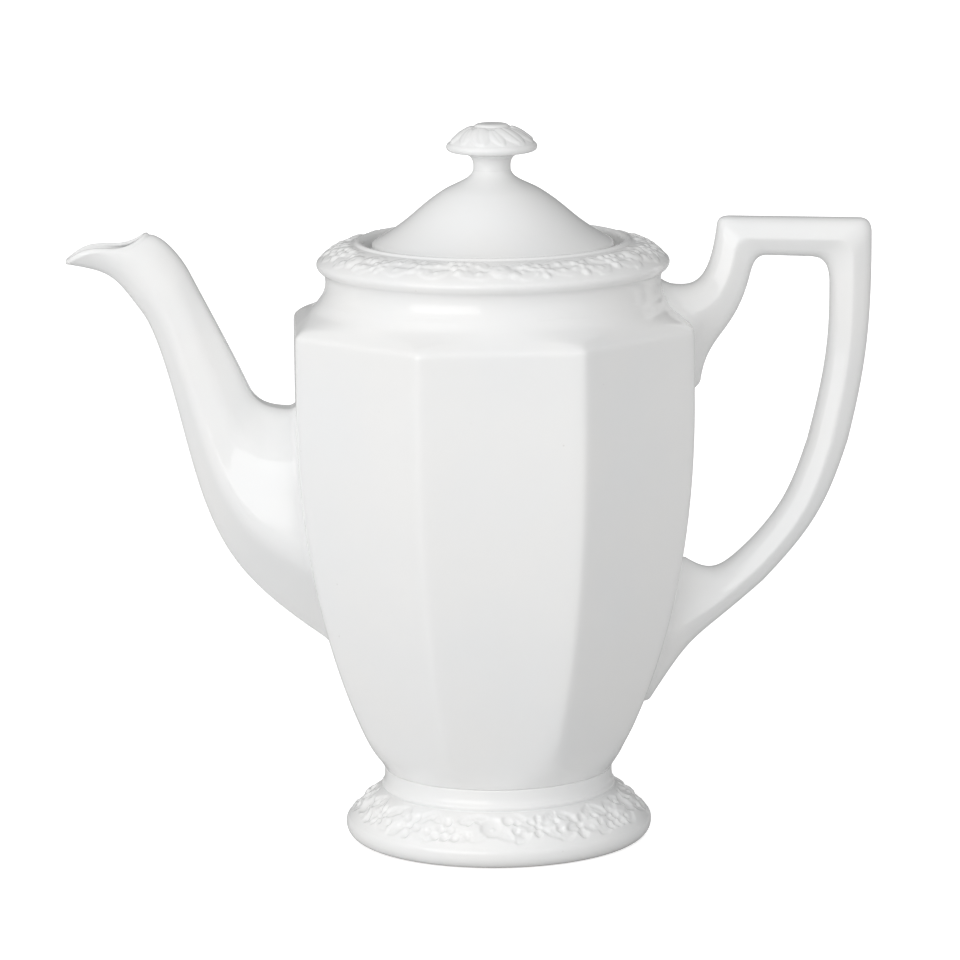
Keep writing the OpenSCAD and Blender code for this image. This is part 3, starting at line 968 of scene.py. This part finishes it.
def knob_leaves(line, columns):
    """Height map of overlapping leaves that fan out from the knob's button."""
    angle = np.arange(columns) * 2 * math.pi / columns
    r = line[:, :1]
    height = np.zeros((len(line), columns))
    for k in range(2 * KNOB_LEAVES):
        lead = k % 2 == 0
        a = (angle - k * math.pi / KNOB_LEAVES + math.pi) % (2 * math.pi) - math.pi
        twist = 0.05 * (r - 8)
        across = (a[None, :] - twist) * r
        inner_r, outer_r = (5.2, 13.2) if lead else (6.8, 12.8)
        along = (r - inner_r) / (outer_r - inner_r)
        half = (3.6 if lead else 2.4) * np.sin(math.pi * np.clip(along, 0, 1)) ** 0.6
        d = np.abs(across) / np.maximum(half, 1e-3)
        bulge = np.clip(1 - d**2, 0, 1) ** 0.6 * (1 - 0.30 * np.exp(-((across / 0.4) ** 2)))
        top = (1.0 if lead else 0.7) * (0.65 + 0.35 * along)
        height = np.maximum(height, np.where((d < 1) & (along > 0) & (along < 1), top * bulge, 0))
    for _ in range(SOFTENING):
        height = (2 * height + np.roll(height, 1, axis=1) + np.roll(height, -1, axis=1)) / 4
    return height


def make_knob():
    """The mushroom knob: a waisted neck, a plain bead and leaves round a flat button."""
    skin = Skin()
    z = KNOB_SEAM_Z
    turned(skin, [[0, z + 0.01], [KNOB_NECK_R - 0.04, z + 0.01], [KNOB_NECK_R, z + 0.03]])
    stem = even(chain([KNOB_NECK_R, z + 0.06], [
        [[KNOB_NECK_R - 0.4, z + 4.6], [KNOB_R - 6.4, z + 4.8], [KNOB_R - 1.5, z + 5.5]],
        [[KNOB_R + 0.1, z + 5.8], [KNOB_R + 0.3, z + 7.2], [KNOB_R - 0.6, z + 8.0]],
    ], 24), 0.3)
    turned(skin, stem)
    crown = even(curve([[KNOB_R - 0.8, z + 8.1], [KNOB_R - 3.0, z + 10.2],
                        [8.0, TOP_Z - 1.5], [5.4, TOP_Z - 1.0]], 30), 0.25)
    run = np.linspace(0, 1, len(crown))
    fade = (smooth(run / 0.12) * smooth((1 - run) / 0.10))[:, None]
    turned(skin, crown, push=(side_normals(crown), KNOB_LEAF_H * knob_leaves(crown, COLUMNS) * fade))
    button = even(curve([[5.2, TOP_Z - 0.85], [5.0, TOP_Z - 0.1], [3.6, TOP_Z], [1.0, TOP_Z]], 12), 0.4)
    turned(skin, button)
    turned(skin, [[0, TOP_Z]])
    return skin.make("lid_mushroom_knob")


# ---------- materials ----------

def add(tree, kind, values=None, **settings):
    """A node with its input values and its own settings."""
    made = tree.nodes.new(kind)
    for key, value in settings.items():
        setattr(made, key, value)
    for key, value in (values or {}).items():
        made.inputs[key].default_value = value
    return made


def link(tree, source, output, target, socket):
    tree.links.new(source.outputs[output], target.inputs[socket])


def new_material(name):
    """A material with its node tree and its shader."""
    material = bpy.data.materials.new(name)
    material.use_nodes = True
    return material, material.node_tree, material.node_tree.nodes["Principled BSDF"]


def texture(tree, coords, kind, **values):
    """A texture node laid over the object in its own coordinates."""
    made = add(tree, "ShaderNodeTex" + kind, values)
    link(tree, coords, "Object", made, "Vector")
    return made


def ramp(tree, source, output, low, high, start, stop):
    """A value of source, taken from low..high to start..stop."""
    made = add(tree, "ShaderNodeMapRange",
               {"From Min": low, "From Max": high, "To Min": start, "To Max": stop})
    link(tree, source, output, made, "Value")
    return made


def plus(tree, a, b):
    """The sum of two values."""
    made = add(tree, "ShaderNodeMath", operation="ADD")
    tree.links.new(a.outputs[0], made.inputs[0])
    tree.links.new(b.outputs[0], made.inputs[1])
    return made


def feed(tree, node, socket, value):
    """Sets a socket to a number or a colour, or links it to the result of a node."""
    if isinstance(value, bpy.types.Node):
        link(tree, value, "Result", node, socket)
    elif isinstance(value, tuple):
        node.inputs[socket].default_value = (*value, 1)
    else:
        node.inputs[socket].default_value = value


def blend(tree, factor, a, b, data_type="RGBA"):
    """Between a and b, which are numbers, colours or nodes."""
    made = add(tree, "ShaderNodeMix", data_type=data_type)
    feed(tree, made, "A", a)
    feed(tree, made, "B", b)
    feed(tree, made, "Factor", factor)
    return made


GLAZE_WARM = (0.86, 0.858, 0.85)
GLAZE_COOL = (0.845, 0.85, 0.85)
# Colour for hollows: the slight cool tint of pooled glaze, darkened well beyond it as painted shade
GLAZE_POOL_AND_SHADE = (0.76, 0.775, 0.775)
GLAZE_IOR = 1.52
SPECK = (0.45, 0.42, 0.38)
BISQUE = (0.80, 0.77, 0.72)
BISQUE_ROUGHNESS = 0.75
SCUFF = (0.52, 0.51, 0.49)

# Height of the ring under the foot that has no glaze, in metres
BARE_RING = 0.0007


def glaze_colour(tree, coords, cloud):
    """Slightly clouded white, a little cooler where the glaze pools in hollows and darker there as painted
    shade, with rare specks.
    """
    body = blend(tree, ramp(tree, cloud, "Fac", 0.35, 0.65, 0, 1), GLAZE_WARM, GLAZE_COOL)
    edges = add(tree, "ShaderNodeNewGeometry")
    # Hollows, found by their pointiness, take the cool tint of pooled glaze and painted shade
    pooled_and_shaded = blend(tree, ramp(tree, edges, "Pointiness", 0.47, 0.42, 0, 0.55), body, GLAZE_POOL_AND_SHADE)
    specks = texture(tree, coords, "Voronoi", Scale=95.0)
    return blend(tree, ramp(tree, specks, "Distance", 0.035, 0.02, 0, 0.22), pooled_and_shaded, SPECK)


def glaze_surface(tree, coords, shader):
    """Long waves and a fine orange peel in the glaze."""
    waves = texture(tree, coords, "Noise", Scale=65.0, Detail=1.0)
    peel = texture(tree, coords, "Noise", Scale=900.0, Detail=2.0)
    wavy = add(tree, "ShaderNodeBump", {"Strength": 0.25, "Distance": 0.0004})
    link(tree, waves, "Fac", wavy, "Height")
    fine = add(tree, "ShaderNodeBump", {"Strength": 0.10, "Distance": 0.00002})
    link(tree, peel, "Fac", fine, "Height")
    link(tree, wavy, "Normal", fine, "Normal")
    link(tree, fine, "Normal", shader, "Normal")


def bare_ring(tree, coords, colour, gloss, height):
    """Bisque at the bottom of the foot, scuffed grey where it stands on the table."""
    split = add(tree, "ShaderNodeSeparateXYZ")
    link(tree, coords, "Object", split, "Vector")
    bare = ramp(tree, split, "Z", height, height * 0.6, 0, 1)
    scuffs = texture(tree, coords, "Noise", Scale=160.0, Detail=5.0)
    bisque = blend(tree, ramp(tree, scuffs, "Fac", 0.52, 0.72, 0, 0.5), BISQUE, SCUFF)
    return blend(tree, bare, colour, bisque), blend(tree, bare, gloss, BISQUE_ROUGHNESS, "FLOAT")


def glazed_porcelain(name, bare_below=None):
    """White glazed porcelain. Below the height bare_below, in metres, it is unglazed bisque."""
    material, tree, shader = new_material(name)
    shader.inputs["IOR"].default_value = GLAZE_IOR
    coords = add(tree, "ShaderNodeTexCoord")
    cloud = texture(tree, coords, "Noise", Scale=28.0, Detail=3.0, Roughness=0.5)
    colour = glaze_colour(tree, coords, cloud)
    gloss = ramp(tree, cloud, "Fac", 0.3, 0.7, 0.045, 0.085)
    glaze_surface(tree, coords, shader)
    if bare_below is not None:
        colour, gloss = bare_ring(tree, coords, colour, gloss, bare_below)
    link(tree, colour, "Result", shader, "Base Color")
    link(tree, gloss, "Result", shader, "Roughness")
    return material


# ---------- studio ----------

# The camera stands a little to the spout's side and looks slightly down
CAMERA_AZIMUTH = math.radians(-2.5)
CAMERA_AWAY = 1.6
CAMERA_HEIGHT = 0.414
CAMERA_PITCH = math.radians(10.735)
CAMERA_YAW = math.radians(0.1665)
CAMERA_ROLL = math.radians(0.64)
CAMERA_LENS = 200.4

# Brightness of the studio behind the camera and behind the pot, what it gains overhead,
# and what it loses towards the middle of its shaded part
STUDIO_FRONT = 0.91
STUDIO_BACK = 0.38
STUDIO_ABOVE = 0.06
STUDIO_SHADE = 0.30
SHADE_TOWARD = (0.75, 0.45, 0.48)

# Half the side of the floor, in metres, its colour, and how brightly it shows white to the camera
FLOOR_REACH = 6.0
FLOOR_COLOUR = (0.66, 0.66, 0.66, 1)
FLOOR_WHITE = 0.74

# Name, azimuth and elevation in degrees, distance, size, watts, and whether the glaze reflects it
LIGHTS = [
    ("key_softbox", -36, 12, 1.7, (1.5, 0.9), 6.8, True),
    ("key_fill", -64, 14, 1.9, (1.7, 1.2), 5.6, False),
    ("side_fill", 36, 24, 1.9, (1.2, 1.2), 4.2, False),
    ("back_fill", 172, 16, 1.9, (1.8, 1.2), 4.0, False),
    ("top_softbox", -10, 78, 1.8, (2.4, 2.0), 1.1, True),
]

# The point that the lights face
LIGHTS_AIM = (0, 0, 0.11)


def make_camera():
    data = bpy.data.cameras.new("camera")
    data.lens = CAMERA_LENS
    data.sensor_width = 36.0
    camera = new_object("camera", data)
    x, y = CAMERA_AWAY * math.sin(CAMERA_AZIMUTH), -CAMERA_AWAY * math.cos(CAMERA_AZIMUTH)
    camera.location = (x, y, CAMERA_HEIGHT)
    heading, flat = CAMERA_AZIMUTH + CAMERA_YAW, math.cos(CAMERA_PITCH)
    ahead = Vector((-math.sin(heading) * flat, math.cos(heading) * flat, -math.sin(CAMERA_PITCH)))
    level = ahead.to_track_quat("-Z", "Y").to_matrix()
    camera.rotation_mode = "QUATERNION"
    camera.rotation_quaternion = (level @ Matrix.Rotation(-CAMERA_ROLL, 3, "Z")).to_quaternion()
    bpy.context.scene.camera = camera


def softbox(name, azimuth, elevation, away, size, power, glossy):
    """A rectangular light that faces the pot, seen from the pot at azimuth and elevation."""
    a, e = math.radians(azimuth), math.radians(elevation)
    direction = Vector((math.sin(a) * math.cos(e), -math.cos(a) * math.cos(e), math.sin(e)))
    data = bpy.data.lights.new(name, "AREA")
    data.shape = "RECTANGLE"
    data.size, data.size_y = size
    data.energy = power
    light = new_object(name, data)
    light.location = Vector(LIGHTS_AIM) + direction * away
    light.rotation_mode = "QUATERNION"
    light.rotation_quaternion = (-direction).to_track_quat("-Z", "Y")
    light.visible_camera = False
    light.visible_glossy = glossy


def make_world():
    """A white studio, bright behind the camera, a little more overhead, and shaded on the handle's side."""
    world = bpy.data.worlds.new("studio")
    bpy.context.scene.world = world
    world.use_nodes = True
    tree = world.node_tree
    background = tree.nodes["Background"]
    background.inputs["Color"].default_value = (1, 1, 1, 1)
    coords = add(tree, "ShaderNodeTexCoord")
    split = add(tree, "ShaderNodeSeparateXYZ")
    link(tree, coords, "Generated", split, "Vector")
    front = ramp(tree, split, "Y", -1.0, 1.0, STUDIO_FRONT, STUDIO_BACK)
    above = ramp(tree, split, "Z", 0.05, 0.85, 0.0, STUDIO_ABOVE)
    toward = add(tree, "ShaderNodeVectorMath", {1: SHADE_TOWARD}, operation="DOT_PRODUCT")
    link(tree, coords, "Generated", toward, 0)
    shade = ramp(tree, toward, "Value", 0.2, 0.9, 0.0, -STUDIO_SHADE)
    lit = plus(tree, plus(tree, front, above), shade)
    seen = add(tree, "ShaderNodeLightPath")
    mix = add(tree, "ShaderNodeMix", {"B": 1.0}, data_type="FLOAT")
    link(tree, seen, "Is Camera Ray", mix, "Factor")
    link(tree, lit, 0, mix, "A")
    link(tree, mix, "Result", background, "Strength")


def make_floor():
    """A plain white floor that takes a soft shadow."""
    mesh = bpy.data.meshes.new("floor")
    corners = [(-1, -1), (1, -1), (1, 1), (-1, 1)]
    mesh.from_pydata([(x * FLOOR_REACH, y * FLOOR_REACH, 0.0) for x, y in corners], [], [[0, 1, 2, 3]])
    floor = new_object("floor", mesh)
    material, tree, shader = new_material("floor_white")
    shader.inputs["Base Color"].default_value = FLOOR_COLOUR
    shader.inputs["Roughness"].default_value = 0.9
    shader.inputs["Specular IOR Level"].default_value = 0.0
    shader.inputs["Emission Color"].default_value = (1, 1, 1, 1)
    seen = add(tree, "ShaderNodeLightPath")
    lit = ramp(tree, seen, "Is Camera Ray", 0, 1, 0.0, FLOOR_WHITE)
    link(tree, lit, "Result", shader, "Emission Strength")
    floor.data.materials.append(material)


def make_lights():
    for light in LIGHTS:
        softbox(*light)


# ---------- assembly ----------

def place(piece, body, node, material):
    """Puts a finished piece on its body, in the place of its CAD node."""
    piece.data.materials.clear()
    piece.data.materials.append(material)
    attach(piece, body)
    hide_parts(node)


def main():
    glaze = glazed_porcelain("glazed_porcelain")
    place(make_barrel(), "pot", "body", glaze)
    place(make_foot(), "pot", "foot", glazed_porcelain("glazed_porcelain_bare_ring", BARE_RING))
    place(make_spout(), "pot", "spout", glaze)
    place(make_handle(), "pot", "handle", glaze)
    place(make_lid(), "lid_unit", "lid", glaze)
    place(make_lug(), "lid_unit", "lid_lug", glaze)
    place(make_knob(), "lid_unit", "lid_knob", glaze)
    make_floor()
    make_world()
    make_lights()
    make_camera()
    bpy.context.scene.view_settings.view_transform = "Standard"


main()
